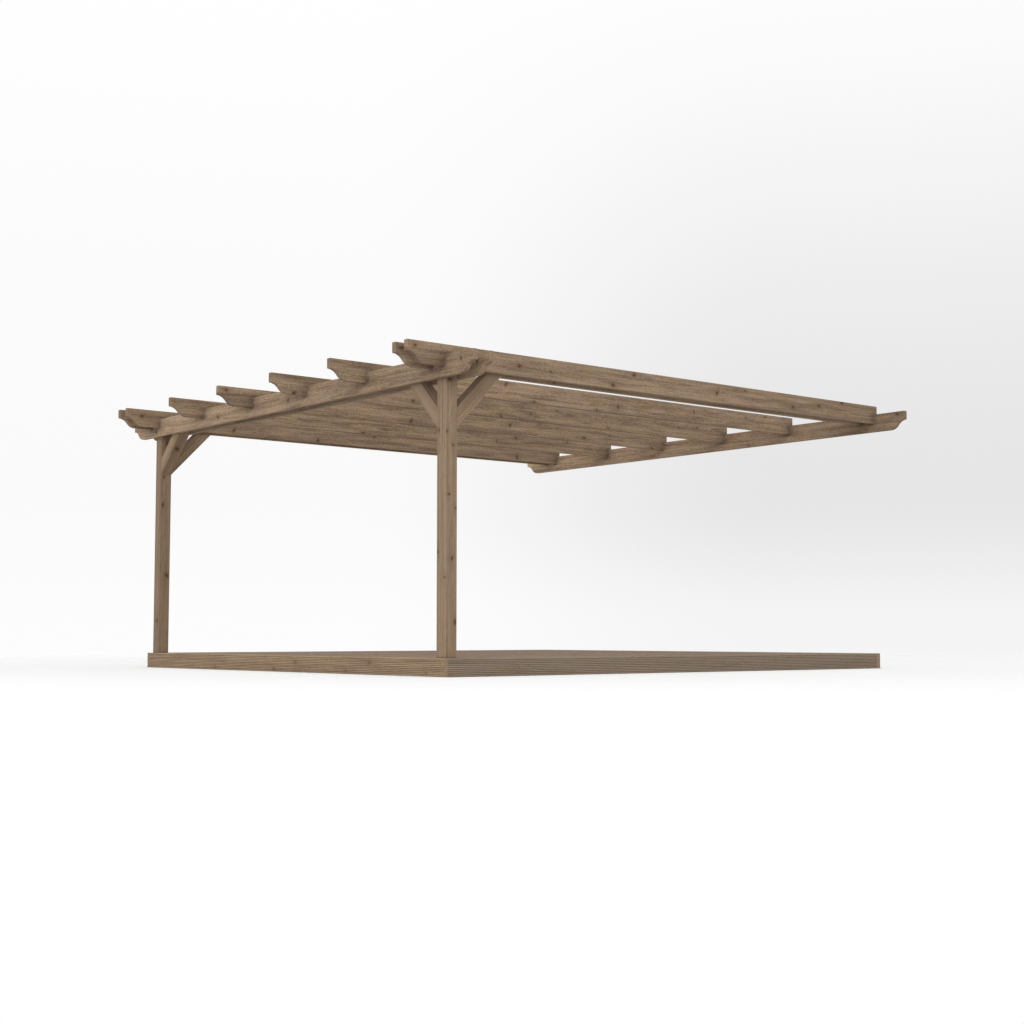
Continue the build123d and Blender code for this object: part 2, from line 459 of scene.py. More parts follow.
def make_softwood_grain():
    """Rings, streaks, flecks, fibres, drying checks and knots, from a point's place in its timber."""
    wiring, given, out = new_tree(
        "Softwood grain",
        "ShaderNodeTree",
        {**dict.fromkeys(GRAIN_PLACES, VECTOR), **dict.fromkeys(GRAIN_SIZES, FLOAT)},
        dict.fromkeys((*GRAIN_MASKS, "Height"), FLOAT),
    )
    calc = wiring.calc
    ramp = wiring.ramp

    # The knot: a long, leaning disc with a wavy rim, and fibres that step aside round it
    along, across, radius = wiring.split(given["Knot place"])
    there = calc("GREATER_THAN", radius, LEAST_KNOT)
    size = calc("MAXIMUM", radius, LEAST_KNOT)
    wave = (wiring.noise(given["Place"], *KNOT_WAVE) - 0.5) * KNOT_WAVE_REACH
    middle = wiring.split(given["Place"])[0] - along
    lot = wiring.noise(wiring.join(middle, 0.0, 0.0), *KNOT_LOT)
    lean = (lot - 0.5) * KNOT_TURN
    leaning = calc("COSINE", lean)
    crossing = calc("SINE", lean)
    long_way = along * leaning + across * crossing
    short_way = across * leaning - along * crossing

    def reach(first, second):
        return calc("SQRT", first**2.0 + second**2.0)

    def knot_share(first, second, longer):
        """How many knot radii away a point lies, with the knot drawn out the first way."""
        return reach(first / longer, second) / size + wave

    share = knot_share(long_way, short_way, KNOT_LONGER)
    flame = knot_share(along, across, FLAME_LONGER)
    knot = there * ramp(share, *KNOT_EDGE)
    rim = there * (ramp(share, *RIM_INSIDE) * ramp(share, *RIM_OUTSIDE))
    halo = there * ramp(flame, *HALO_EDGE)
    spread = calc("MAXIMUM", share * share, 1.0)
    aside = there * (across * -1.0 / spread)
    place = wiring.vector("ADD", given["Place"], wiring.scale(given["Knot side"], aside))

    # Annual rings round a heart that wanders a little along the timber
    run, wide, thick = wiring.split(place)
    run = run / given["Fibre length"]

    def drawn_out(length, width, detail, roughness):
        """Noise drawn out along the fibres."""
        fine = given["Fineness"] / width
        return wiring.noise(wiring.join(run / length, wide * fine, thick * fine), detail, roughness)

    wander = (drawn_out(*HEART_WANDER) - 0.5) * WANDER_REACH
    count = (reach(wide, thick) + wander) / given["Ring width"]
    step = calc("FRACT", count)
    year = wiring.result("ShaderNodeTexWhiteNoise", {"W": calc("FLOOR", count)}, noise_dimensions="1D")
    late = ramp(step, *LATE_WOOD) * ramp(step, *LATE_WOOD_END)
    ring = late * (year * YEAR_SPREAD + (1 - YEAR_SPREAD))

    # Bands, clouds and streaks of stain, fine fibres, short flecks and drying checks
    marks = {"Ring": ring, "Knot": knot, "Knot rim": rim, "Knot halo": halo}
    for label, (length, width, detail, roughness, start, full) in GRAIN_MARKS.items():
        marks[label] = ramp(drawn_out(length, width, detail, roughness), start, full)
    marks["Fleck"] = marks["Fleck"] * marks.pop("Fleck patch")
    crack = calc("ABSOLUTE", drawn_out(*CRACKS) - 0.5)
    marks["Check"] = ramp(crack, *CRACK_EDGE) * marks.pop("Dry patch")
    height = 0.0
    for label, part in RELIEF_SHARES.items():
        height = marks[label] * part + height
    wiring.feed_all(out, {**marks, "Height": height})
    return wiring.tree


def make_brown_stain():
    """Colour and sheen of a brown stain, taken up unevenly, paler along the edges with wear and a painted
    highlight, under grime and painted shade.
    """
    wiring, given, out = new_tree(
        "Brown stain",
        "ShaderNodeTree",
        {
            **dict.fromkeys(GRAIN_MASKS, FLOAT),
            "Tone": 1.0,
            **dict.fromkeys(("Edge", "End cut", "Groove", "Lap"), 0.0),
            "Pale": COLOUR,
            "Deep": COLOUR,
            "Olive tint": (1.0, 1.02, 0.92, 1.0),
            "Rosy tint": (1.05, 0.965, 0.98, 1.0),
            "Gold tint": (1.03, 1.0, 0.85, 1.0),
            "Knot wood": (0.055, 0.032, 0.015, 1.0),
            "Knot rim wood": (0.19, 0.1, 0.052, 1.0),
            "Grime": (0.09, 0.064, 0.046, 1.0),
            "End wood": COLOUR,
            "Contrast": 1.0,
        },
        {"Colour": COLOUR, "Roughness": FLOAT},
    )
    calc = wiring.calc
    blend = wiring.blend

    def cover(colour, covers):
        """Lays other colours over, where their masks are."""
        for label, amount, over in covers:
            colour = blend(given[label] * amount, colour, given[over])
        return colour

    uptake = 0.0
    for label, share in UPTAKE_SHARES.items():
        uptake = given[label] * share + uptake
    uptake = calc("MULTIPLY_ADD", uptake - UPTAKE_MIDDLE, given["Contrast"], 0.5, clamp=True)
    colour = blend(uptake, given["Pale"], given["Deep"])
    tint = blend(given["Hue"], given["Rosy tint"], given["Olive tint"])
    colour = blend(1.0, colour, tint, "MULTIPLY")
    colour = blend(given["Gold"], colour, given["Gold tint"], "MULTIPLY")
    colour = cover(colour, STAIN_COVERS)
    # Pale edges: wear and a painted highlight
    wear_and_highlight = given["Streak"] * RUBBED_AND_HIGHLIT_STREAKS + RUBBED_AND_HIGHLIT_LEAST
    colour = blend(given["Edge"] * wear_and_highlight, colour, given["Pale"])
    # Grime and painted shade in grooves, at feet and edges, and round the laps
    colour = cover(colour, DIRT_AND_SHADE_COVERS)
    sheen = uptake * STAIN_SHEEN + DRY_ROUGHNESS
    dull = given["End cut"] * END_CUT_DULLNESS
    wiring.feed_all(out, {"Colour": wiring.scale(colour, given["Tone"]), "Roughness": sheen + dull})
    return wiring.tree


def lap_places():
    """Where the rafters and the beams cross."""
    board_low, board_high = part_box("rafter_2")

    def middle(node):
        return sum(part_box(node), Vector()) / 2

    return {
        "Half bay": middle("rafter_2").x,
        "End rafter": middle("right_rafter_outer").x,
        "Front beam": middle("front_beam_outer").y,
        "Inner beam": middle("front_beam_inner").y,
        "Wall beam": middle("wall_beam").y,
        "Half board": (board_high.x - board_low.x) / 2,
        "Lap bottom": board_low.z,
        "Lap top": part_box("wall_beam")[1].z,
    }


def make_lap_shade():
    """How near a point lies to a corner between a rafter and a beam, for the painted shade there."""
    wiring, given, out = new_tree(
        "Lap grime",
        "ShaderNodeTree",
        {"Place": VECTOR, "Patches": FLOAT, **dict.fromkeys(lap_places(), FLOAT)},
        {"Lap": FLOAT},
    )
    calc = wiring.calc
    x, y, z = wiring.split(given["Place"])

    def off(value, middle):
        """How far a value lies outside a board that stands round the middle."""
        apart = calc("ABSOLUTE", value - middle)
        return calc("MAXIMUM", apart - given["Half board"], 0.0)

    inner = off(calc("PINGPONG", x, given["Half bay"]), given["Half bay"])
    aside = calc("MINIMUM", inner, off(calc("ABSOLUTE", x), given["End rafter"]))
    front = calc("MINIMUM", off(y, given["Front beam"]), off(y, given["Inner beam"]))
    ahead = calc("MINIMUM", front, off(y, given["Wall beam"]))
    over = (z - given["Lap top"]) * LAP_ABOVE
    under = (given["Lap bottom"] - z) * LAP_BELOW
    level = calc("MAXIMUM", calc("MAXIMUM", over, under), 0.0)
    away = wiring.vector("LENGTH", wiring.join(aside * LAP_ALONG_BEAM, ahead, level))
    patch = wiring.ramp(away, LAP_PATCH_REACH, 0.0) * LAP_PATCH_SHARE
    uneven = given["Patches"] * (1 - LAP_CORNER_LEAST) + LAP_CORNER_LEAST
    corner = wiring.ramp(away, LAP_CORNER_REACH, 0.0) * uneven
    wiring.feed_all(out, {"Lap": calc("ADD", patch, corner, clamp=True)})
    return wiring.tree


SOFTWOOD_GRAIN = make_softwood_grain()
BROWN_STAIN = make_brown_stain()
LAP_SHADE = make_lap_shade()


def make_stained_wood(name, pale, deep, end_wood, contrast, ring_width, fibre_length, fineness):
    """One stained timber: its own stain over the shared grain."""
    material, wiring, surface = new_material(name)
    grain = wiring.node(
        "ShaderNodeGroup",
        {
            **{label: wiring.attribute(layer, "Vector") for label, layer in GRAIN_PLACES.items()},
            "Ring width": ring_width,
            "Fibre length": fibre_length,
            "Fineness": fineness,
        },
        node_tree=SOFTWOOD_GRAIN,
    )
    stain = wiring.node(
        "ShaderNodeGroup",
        {
            **{label: grain.outputs[label] for label in GRAIN_MASKS},
            **{label: wiring.attribute(layer, "Fac") for label, layer in STAIN_AMOUNTS.items()},
            "Pale": (*pale, 1.0),
            "Deep": (*deep, 1.0),
            "End wood": (*end_wood, 1.0),
            "Contrast": contrast,
        },
        node_tree=BROWN_STAIN,
    )
    relief = wiring.node(
        "ShaderNodeBump",
        {"Strength": RELIEF_STRENGTH, "Distance": RELIEF_HEIGHT, "Height": grain.outputs["Height"]},
    )
    looks = {
        "Base Color": stain.outputs["Colour"],
        "Roughness": stain.outputs["Roughness"],
        "Specular IOR Level": WOOD_GLOSS,
        "Normal": relief.outputs["Normal"],
    }
    wiring.feed_all(surface, looks)
    return material


def make_screw_steel():
    """Plated screw steel, a little scuffed and dulled outdoors."""
    material, wiring, surface = new_material("screw_steel")
    where = wiring.node("ShaderNodeTexCoord").outputs["Object"]
    dull = wiring.noise(where, *STEEL_SCUFFS)
    looks = {
        "Base Color": wiring.blend(dull, BRIGHT_STEEL, DULL_STEEL),
        "Roughness": dull * STEEL_DULLNESS + STEEL_ROUGHNESS,
        "Metallic": 1.0,
    }
    wiring.feed_all(surface, looks)
    return material


def add_lap_shade(material):
    """Painted shade in the corners where this finish's timbers cross."""
    wiring = Wiring(material.node_tree)
    nodes = material.node_tree.nodes
    groups = {node.node_tree.name: node for node in nodes if node.bl_idname == "ShaderNodeGroup"}
    lap_shade = wiring.node(
        "ShaderNodeGroup",
        {
            "Place": wiring.node("ShaderNodeTexCoord").outputs["Object"],
            "Patches": groups[SOFTWOOD_GRAIN.name].outputs["Cloud"],
            **lap_places(),
        },
        node_tree=LAP_SHADE,
    )
    wiring.feed_all(groups[BROWN_STAIN.name], {"Lap": lap_shade.outputs["Lap"]})


wood = {name: make_stained_wood(name, *stain) for name, stain in STAINS.items()}
# Painted shade round the laps on the beams and rafters
add_lap_shade(wood["beam_wood"])
screw_steel = make_screw_steel()


# How each timber lies, and where its knots are

X = Vector((1, 0, 0))
Y = Vector((0, 1, 0))
Z = Vector((0, 0, 1))
SLOPE = math.sqrt(0.5)
CAMERA_SIGHT = CAMERA_FORWARD.normalized()
CAMERA_RIGHT = CAMERA_FORWARD.cross(Z).normalized()
CAMERA_UP = CAMERA_RIGHT.cross(CAMERA_SIGHT)
SHOWN_KNOTS = (
    (KNOTS_ON_RIGHT_FACES, X),
    (KNOTS_ON_FRONT_FACES, -Y),
    (KNOTS_UNDER_BRACES, (X - Z) * SLOPE),
)


def face_point(node, pixel, outward):
    """Where the line of sight through a pixel meets a node's outward face."""
    half = IMAGE_SIDE / 2
    tangent = SENSOR_WIDTH / 2 / CAMERA_LENS
    aside = CAMERA_RIGHT * ((pixel[0] - half) / half * tangent)
    above = CAMERA_UP * ((half - pixel[1]) / half * tangent)
    sight = CAMERA_SIGHT + aside + above
    face = max(vertex.co.dot(outward) for vertex in frame["nodes"][node].data.vertices)
    return CAMERA_PLACE + sight * ((face - CAMERA_PLACE.dot(outward)) / sight.dot(outward))


def held(value):
    """A value held between nothing and one."""
    return min(1.0, max(0.0, value))


BEAM_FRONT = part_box("front_beam_outer")[0].y
BEAM_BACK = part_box("front_beam_inner")[1].y


class Timber:
    """One length of wood: which way its fibres run, where its heart was and where its knots are."""

    def __init__(self, name, points, along, thick, number, lengths=None, spread=TONE_SPREAD):
        self.draw = random.Random(name)
        self.along = Vector(along).normalized()
        self.thick = Vector(thick).normalized()
        self.wide = self.thick.cross(self.along)
        lows = [min(point.dot(way) for point in points) for way in self.ways()]
        highs = [max(point.dot(way) for point in points) for way in self.ways()]
        self.middle = Vector((low + high) / 2 for low, high in zip(lows, highs))
        self.length, self.width, self.thickness = (high - low for low, high in zip(lows, highs))
        self.shift = TIMBER_SHIFT * number
        self.overhang_shading = None
        if "rafter" in name and "brace" not in name:
            self.overhang_shading = OVERHANG_SHADINGS.get(name, OVERHANG_SHADING)
            self.line = (OVERHANG_LINE - 0.5) * self.width
        self.place_heart()
        self.knots = self.seen_knots(name)
        if len(self.knots) < KNOTS_ENOUGH and not name.endswith(CLEAR_TIMBERS):
            self.scatter_knots(lengths or max(1, round(self.length / KNOT_SPACING)))
        self.knots.sort()
        self.tone = TIMBER_TONES.get(name, self.draw.uniform(1 - spread, 1 + spread))
        self.lean = PAINTED_LIGHT_LEANS.get(name, 0.0)
        self.end_painted_light = END_PAINTED_LIGHT.get(name, 1.0)
        self.cross_lean = BRACE_PAINTED_SHADE if name.endswith("brace") else 0.0

    def ways(self):
        return self.along, self.wide, self.thick

    def local(self, point):
        """A point as along, wide and thick, from the timber's middle."""
        return Vector(point.dot(way) for way in self.ways()) - self.middle

    def place_heart(self):
        """A post is cut round the heart of its tree, a board beside it."""
        if self.thickness > SQUARE_TIMBER:
            across = self.draw.uniform(-HEART_IN_POST, HEART_IN_POST)
            beside = self.draw.uniform(-HEART_IN_POST, HEART_IN_POST)
        else:
            beside = self.draw.choice((-1, 1)) * self.draw.uniform(*HEART_BESIDE_BOARD)
            across = self.draw.uniform(-HEART_ACROSS_BOARD, HEART_ACROSS_BOARD)
        self.heart = Vector((0, across, beside))

    def seen_knots(self, name):
        """Knots at the photograph's own places: along, across, radius, and which way is across."""
        knots = []
        for pixels, outward in SHOWN_KNOTS:
            way = 1 if abs(outward.dot(self.thick)) > 0.5 else 2
            for pixel in pixels.get(name, []):
                point = self.local(face_point(name, pixel, outward))
                radius = pixel[2] if len(pixel) > 2 else self.draw.uniform(KNOT_SMALL, KNOT_LARGE)
                knots.append((point.x, point[way], radius, way))
        return knots

    def scatter_knots(self, count):
        """More knots where there is room, at most one in each of so many equal lengths."""
        step = self.length / count
        for number in range(count):
            along = (number + self.draw.uniform(CLEAR_SHARE, 1 - CLEAR_SHARE)) * step - self.length / 2
            way = 1
            room = self.width
            if self.thickness > SQUARE_TIMBER and self.draw.random() < 0.5:
                way = 2
                room = self.thickness
            across = self.draw.uniform(-KNOT_REACH, KNOT_REACH) * room
            radius = self.draw.uniform(KNOT_SMALL, KNOT_LARGE)
            if all(abs(along - other[0]) > KNOT_ROOM for other in self.knots):
                self.knots.append((along, across, radius, way))

    def tone_at(self, point):
        """The timber's tone there, with painted light and shade along a beam, across a brace and in front
        of the beams.
        """
        local = self.local(point)
        # Painted light and shade along a beam and across a brace
        change = self.lean * local.x / self.length + self.cross_lean * local.y / self.width
        tone = self.tone * (1 + change)
        if self.overhang_shading is None:
            return tone
        # Painted shade and light on the rafters' ends in front of the beams, with bands of the wood's own
        # colour
        upper, lower = self.overhang_shading
        above = held((local.y - self.line) / OVERHANG_BLEND + 0.5)
        overhang_shading = lower + (upper - lower) * above
        behind_front = held((point.y - BEAM_FRONT) / (BEAM_BACK - BEAM_FRONT))
        return tone * (overhang_shading + (1 - overhang_shading) * behind_front)

    def cuts(self):
        """Planes halfway between neighbouring knots on the same faces, and where the tone changes."""
        if self.overhang_shading is not None:
            yield Y, BEAM_FRONT
            yield Y, BEAM_BACK
            yield self.wide, self.middle.y + self.line - OVERHANG_BLEND / 2
            yield self.wide, self.middle.y + self.line + OVERHANG_BLEND / 2
        for way in (1, 2):
            knots = [knot for knot in self.knots if knot[3] == way]
            for first, second in zip(knots, knots[1:]):
                yield self.along, self.middle.x + (first[0] + second[0]) / 2

    def nearest_knot(self, along, normal):
        """The knot that shows nearest on a face: each goes right through from one side to the other."""
        if abs(normal.dot(self.along)) > END_FACE:
            return NO_KNOT
        way = 1 if abs(normal.dot(self.thick)) > abs(normal.dot(self.wide)) - FACE_TIE else 2
        knots = [knot for knot in self.knots if knot[3] == way]
        return min(knots, key=lambda knot: abs(knot[0] - along), default=NO_KNOT)


def fibre_ways(node):
    """Which way a timber's fibres run, and its thin way."""
    if node.endswith("post"):
        return Z, Y
    if node == "left_beam_brace":
        return (X + Z) * SLOPE, Y
    if node == "right_beam_brace":
        return (Z - X) * SLOPE, Y
    if node.endswith("rafter_brace"):
        return (Y + Z) * SLOPE, X
    if "beam" in node or node in ("deck_front_fascia", "deck_back_fascia"):
        return X, Y
    return Y, X


timber_numbers = {node: number for number, node in enumerate(sorted(frame["nodes"]), 1)}


def timber_of(node):
    points = [vertex.co for vertex in frame["nodes"][node].data.vertices]
    along, thick = fibre_ways(node)
    return Timber(node, points, along, thick, timber_numbers[node])


def settle_wood(mesh, find_timber):
    """Writes each corner's place in its timber, tone and nearest knot, and which faces cut the fibres."""
    grain = []
    knots = []
    sides = []
    ends = []
    tones = []
    for face in mesh.polygons:
        timber = find_timber(face.center)
        along, across, radius, way = timber.nearest_knot(timber.local(face.center).x, face.normal)
        side = (0.0, 1.0, 0.0) if way == 1 else (0.0, 0.0, 1.0)
        across_fibres = abs(face.normal.dot(timber.along))
        ends.append(across_fibres**2)
        # Paler ends and undersides are painted light
        paler = timber.end_painted_light if across_fibres > END_FACE else 1.0
        if face.normal.z < -FACING_DOWN:
            paler *= UNDERSIDE_PAINTED_LIGHT
        for corner in face.loop_indices:
            point = mesh.vertices[mesh.loops[corner].vertex_index].co
            tones.append(timber.tone_at(point) * paler)
            local = timber.local(point)
            from_heart = local - timber.heart
            grain.extend((local.x + timber.shift, from_heart.y, from_heart.z))
            knots.extend((local.x - along, local[way] - across, radius))
            sides.extend(side)
    for name, values in (("grain", grain), ("knot", knots), ("knot_side", sides)):
        mesh.attributes.new(name, "FLOAT_VECTOR", "CORNER").data.foreach_set("vector", values)
    mesh.attributes.new("end_cut", "FLOAT", "FACE").data.foreach_set("value", ends)
    mesh.attributes.new("tone", "FLOAT", "CORNER").data.foreach_set("value", tones)


def work_out(piece):
    """Turns a piece with its modifiers into a plain mesh."""
    graph = bpy.context.evaluated_depsgraph_get()
    solved = piece.evaluated_get(graph)
    made = bpy.data.meshes.new_from_object(solved, preserve_all_data_layers=True, depsgraph=graph)
    piece.modifiers.clear()
    piece.data = made
    return piece


def shade_evenly(piece, sharp_angle):
    """A plain mesh, smooth up to an angle and with even shading on its flat faces."""
    piece.data.shade_smooth()
    piece.data.set_sharp_from_angle(angle=sharp_angle)
    weighted = piece.modifiers.new("even_shading", "WEIGHTED_NORMAL")
    weighted.keep_sharp = True
    work_out(piece)
    piece.data.name = piece.name


def new_piece(name, data):
    """A new piece, lamp or camera in the scene."""
    piece = bpy.data.objects.new(name, data)
    bpy.context.scene.collection.objects.link(piece)
    return piece


def hand_over(piece, slot, *nodes):
    """A finished piece is attached to the root and stands for its nodes, which are hidden."""
    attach(piece, "root")
    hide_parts(*nodes)


# The sawn timbers of the frame


def write_out(shape, mesh):
    """Puts a worked shape into a mesh and lets go of it."""
    shape.to_mesh(mesh)
    shape.free()
    return mesh


def round_off(shape, edges, radius, steps):
    """Rounds edges off and marks the rounds with the name arris."""
    marks = shape.faces.layers.float.get("arris")
    made = bmesh.ops.bevel(
        shape, geom=edges, offset=radius, offset_type="OFFSET", segments=steps, profile=ROUND_PROFILE,
        affect="EDGES", clamp_overlap=True,
    )
    for face in made["faces"]:
        face[marks] = 1.0


def cut_through(shape, place, way):
    """Cuts every face that a plane meets."""
    everything = shape.verts[:] + shape.edges[:] + shape.faces[:]
    bmesh.ops.bisect_plane(shape, geom=everything, plane_co=place, plane_no=way, dist=ON_THE_CUT)


def machined_copy(node):
    """The node's own shape, cleaned up, with every outward corner eased."""
    shape = bmesh.new()
    shape.from_mesh(frame["nodes"][node].data)
    bmesh.ops.remove_doubles(shape, verts=shape.verts, dist=SAME_POINT)
    bmesh.ops.dissolve_limit(shape, angle_limit=FLAT_ANGLE, verts=shape.verts, edges=shape.edges)
    shape.faces.layers.float.new("arris")
    joined = [edge for edge in shape.edges if edge.is_manifold]
    corners = [edge for edge in joined if edge.calc_face_angle_signed(0) > CORNER_ANGLE]
    round_off(shape, corners, EASED_EDGE, EASED_EDGE_STEPS)
    return shape


def squared_post(node):
    """A square post with rounded arrises and a dark line of painted contact shadow at its foot."""
    low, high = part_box(node)
    shape = bmesh.new()
    shape.faces.layers.float.new("arris")
    foot_shade = shape.verts.layers.float.new("groove")
    bmesh.ops.create_cube(shape, size=1.0)
    bmesh.ops.scale(shape, vec=high - low, verts=shape.verts)
    bmesh.ops.translate(shape, vec=(low + high) / 2, verts=shape.verts)
    upright = [edge for edge in shape.edges if abs((edge.verts[0].co - edge.verts[1].co).z) > POST_ARRIS]
    round_off(shape, upright, POST_ARRIS, POST_ARRIS_STEPS)
    # Painted contact shadow at the foot, laid on through the groove mask
    cut_through(shape, low + Z * FOOT_SHADE, Z)
    for vertex in shape.verts:
        if vertex.co.z < low.z + FOOT_SHADE / 2:
            vertex[foot_shade] = 1.0
    return shape


def cut_between_knots(shape, timber):
    """Cuts a shape's faces so that each holds one knot at most and its tone changes evenly."""
    for way, place in timber.cuts():
        cut_through(shape, way * place, way)


def saw_timber(node, slot):
    """One timber of the frame: its shape and its grain."""
    timber = timber_of(node)
    shape = squared_post(node) if node.endswith("post") else machined_copy(node)
    cut_between_knots(shape, timber)
    mesh = write_out(shape, bpy.data.meshes.new(f"{node}_timber"))
    mesh.materials.append(wood[slot])
    piece = new_piece(f"{node}_timber", mesh)
    shade_evenly(piece, SHARP_ANGLE)
    settle_wood(piece.data, lambda point: timber)
    hand_over(piece, slot, node)


slots = {row["node"]: row["material_slot"] for row in frame["record"]["subparts"]}
for node, slot in slots.items():
    if slot in ("post_wood", "beam_wood", "joist_wood"):
        saw_timber(node, slot)


# The reeded boards


BOARD_SIZES = {"Length": FLOAT, "Width": FLOAT, "Thickness": FLOAT}
SCREW_ROWS = {
    "Joists": WHOLE, "Joist pitch": FLOAT, "Boards": WHOLE, "Board pitch": FLOAT, "Pair apart": FLOAT,
}


def new_growth(name, measures):
    """A geometry tree with named measures and a finish."""
    inputs = {"Shape": SHAPE, **measures, "Finish": FINISH}
    return new_tree(name, "GeometryNodeTree", inputs, {"Shape": SHAPE})


def raise_faces(wiring, mesh, height, **chosen):
    """Raises all faces of a mesh, or the chosen ones: the raised shape and its new top."""
    lift = {"Offset": wiring.join(0.0, 0.0, height), "Offset Scale": 1.0, "Individual": False}
    made = wiring.node("GeometryNodeExtrudeMesh", {"Mesh": mesh, **lift, **chosen}, mode="FACES")
    return made.outputs["Mesh"], made.outputs["Top"]


def set_in_row(wiring, geometry, count, step, **turned):
    """A row of places one step apart, with the geometry on each."""
    spacing = {"Count": count, "Offset": wiring.join(*step)}
    row = wiring.result("GeometryNodeMeshLine", spacing, mode="OFFSET")
    return wiring.result("GeometryNodeInstanceOnPoints", {"Points": row, "Instance": geometry, **turned})


def draw_lot(wiring, most, seed):
    """A number for each place, drawn between nothing and the most."""
    bounds = {2: 0.0, 3: most, "Seed": seed}
    made = wiring.node("FunctionNodeRandomValue", bounds, data_type="FLOAT")
    return Value(wiring, made.outputs[1])


def finish_tree(wiring, instances, finish, out):
    """Every tree ends with real geometry and its finish."""
    real = wiring.result("GeometryNodeRealizeInstances", {"Geometry": instances})
    dressed = wiring.result("GeometryNodeSetMaterial", {"Geometry": real, "Material": finish})
    wiring.feed_all(out, {"Shape": dressed})
    return wiring.tree


def make_reeded_boards():
    """Boards side by side with round-edged, grooved faces: along X, spread along Y, faces up."""
    wiring, given, out = new_growth("Reeded boards", {**BOARD_SIZES, **FASCIA_REEDING})
    calc = wiring.calc
    columns = calc("ROUND", given["Width"] / given["Profile step"])
    grid = {
        "Size X": given["Length"],
        "Size Y": given["Width"],
        "Vertices X": given["Lengths"] + 1.0,
        "Vertices Y": columns + 1.0,
    }
    sheet = wiring.result("GeometryNodeMeshGrid", grid)
    raised = raise_faces(wiring, sheet, given["Thickness"])[0]

    place = wiring.node("GeometryNodeInputPosition").outputs[0]
    across, high = wiring.split(place)[1:]
    up = across + given["Width"] * 0.5
    down = given["Width"] - up
    counted = (up - given["First reed"]) / given["Reed pitch"]
    last = given["Reeds"] - 1.0
    reed = calc("MINIMUM", calc("MAXIMUM", calc("ROUND", counted), 0.0), last)
    off = calc("ABSOLUTE", counted - reed) * given["Reed pitch"]
    groove = wiring.ramp(off, 0.0, given["Groove width"] * 0.5, 1.0, 0.0)
    short = calc("MAXIMUM", given["Edge round"] - calc("MINIMUM", up, down), 0.0)
    chord = given["Edge round"] ** 2.0 - short**2.0
    drop = given["Edge round"] - calc("SQRT", calc("MAXIMUM", chord, 0.0))
    lower = calc("MAXIMUM", groove * given["Groove depth"], drop) * -1.0
    on_face = calc("GREATER_THAN", high, given["Thickness"] * 0.5)
    sinking = {"Geometry": raised, "Selection": on_face, "Offset": wiring.join(0.0, 0.0, lower)}
    carved = wiring.result("GeometryNodeSetPosition", sinking)
    # Darker grooves and edges: grime and painted shade in the grooves, a painted contact shadow along the
    # fascia's bottom
    lower_edge = wiring.ramp(up, 0.0, given["Lower grime"], 1.0, 0.0)
    upper_edge = wiring.ramp(down, 0.0, given["Upper grime"], 1.0, 0.0)
    dark_share = calc("MAXIMUM", groove, calc("MAXIMUM", lower_edge, upper_edge))
    dark_marks = {"Geometry": carved, "Name": "groove", "Value": dark_share * on_face}
    marked = wiring.result("GeometryNodeStoreNamedAttribute", dark_marks, data_type="FLOAT", domain="POINT")

    back = wiring.result("GeometryNodeFlipFaces", {"Mesh": sheet})
    whole = wiring.node("GeometryNodeJoinGeometry", {"Geometry": back})
    wiring.feed_all(whole, {"Geometry": marked})
    seams = {"Geometry": whole.outputs[0], "Distance": SAME_POINT}
    board = wiring.result("GeometryNodeMergeByDistance", seams)
    row = set_in_row(wiring, board, given["Boards"], (0.0, given["Board pitch"], 0.0))
    sunk = draw_lot(wiring, given["Unevenness"], given["Seed"]) * -1.0
    lowered = {"Instances": row, "Translation": wiring.join(0.0, 0.0, sunk)}
    settled = wiring.result("GeometryNodeTranslateInstances", lowered)
    return finish_tree(wiring, settled, given["Finish"], out)


def make_deck_screws():
    """Pairs of countersunk screws in rows along X and columns along Y, heads up at zero height."""
    wiring, given, out = new_growth("Deck screws", {**SCREW_SHAPE, **SCREW_ROWS})
    sizes = {"Vertices": given["Sides"], "Radius": given["Head radius"]}
    disc = wiring.result("GeometryNodeMeshCircle", sizes, fill_type="NGON")
    foot = wiring.join(0.0, 0.0, given["Depth"] * -1.0)
    bottom = wiring.result("GeometryNodeTransform", {"Geometry": disc, "Translation": foot})

    def draw_in(geometry, top):
        """Narrows the chosen top towards its middle."""
        chosen = {"Geometry": geometry, "Selection": top, "Scale": given["Socket share"]}
        return wiring.result("GeometryNodeScaleElements", chosen, domain="FACE")

    raised, top = raise_faces(wiring, bottom, given["Depth"])
    flat, rim = raise_faces(wiring, raised, 0.0, Selection=top)
    sunk, floor = raise_faces(wiring, draw_in(flat, rim), given["Socket depth"] * -1.0, Selection=rim)
    turn = wiring.join(0.0, 0.0, draw_lot(wiring, math.tau, given["Seed"]))
    pair = set_in_row(wiring, draw_in(sunk, floor), 2, (0.0, given["Pair apart"], 0.0), Rotation=turn)
    column = set_in_row(wiring, pair, given["Boards"], (0.0, given["Board pitch"], 0.0))
    whole = set_in_row(wiring, column, given["Joists"], (given["Joist pitch"], 0.0, 0.0))
    return finish_tree(wiring, whole, given["Finish"], out)


REEDED_BOARDS = make_reeded_boards()
DECK_SCREWS = make_deck_screws()


def grow(name, tree, sizes):
    """A new piece from a geometry tree, with its named sizes set before it is first worked out."""
    piece = new_piece(name, bpy.data.meshes.new(name))
    modifier = piece.modifiers.new("growth", "NODES")
    modifier.node_group = tree
    for socket in tree.interface.items_tree:
        if socket.item_type == "SOCKET" and socket.in_out == "INPUT" and socket.name in sizes:
            modifier[socket.identifier] = sizes[socket.name]
    return work_out(piece)


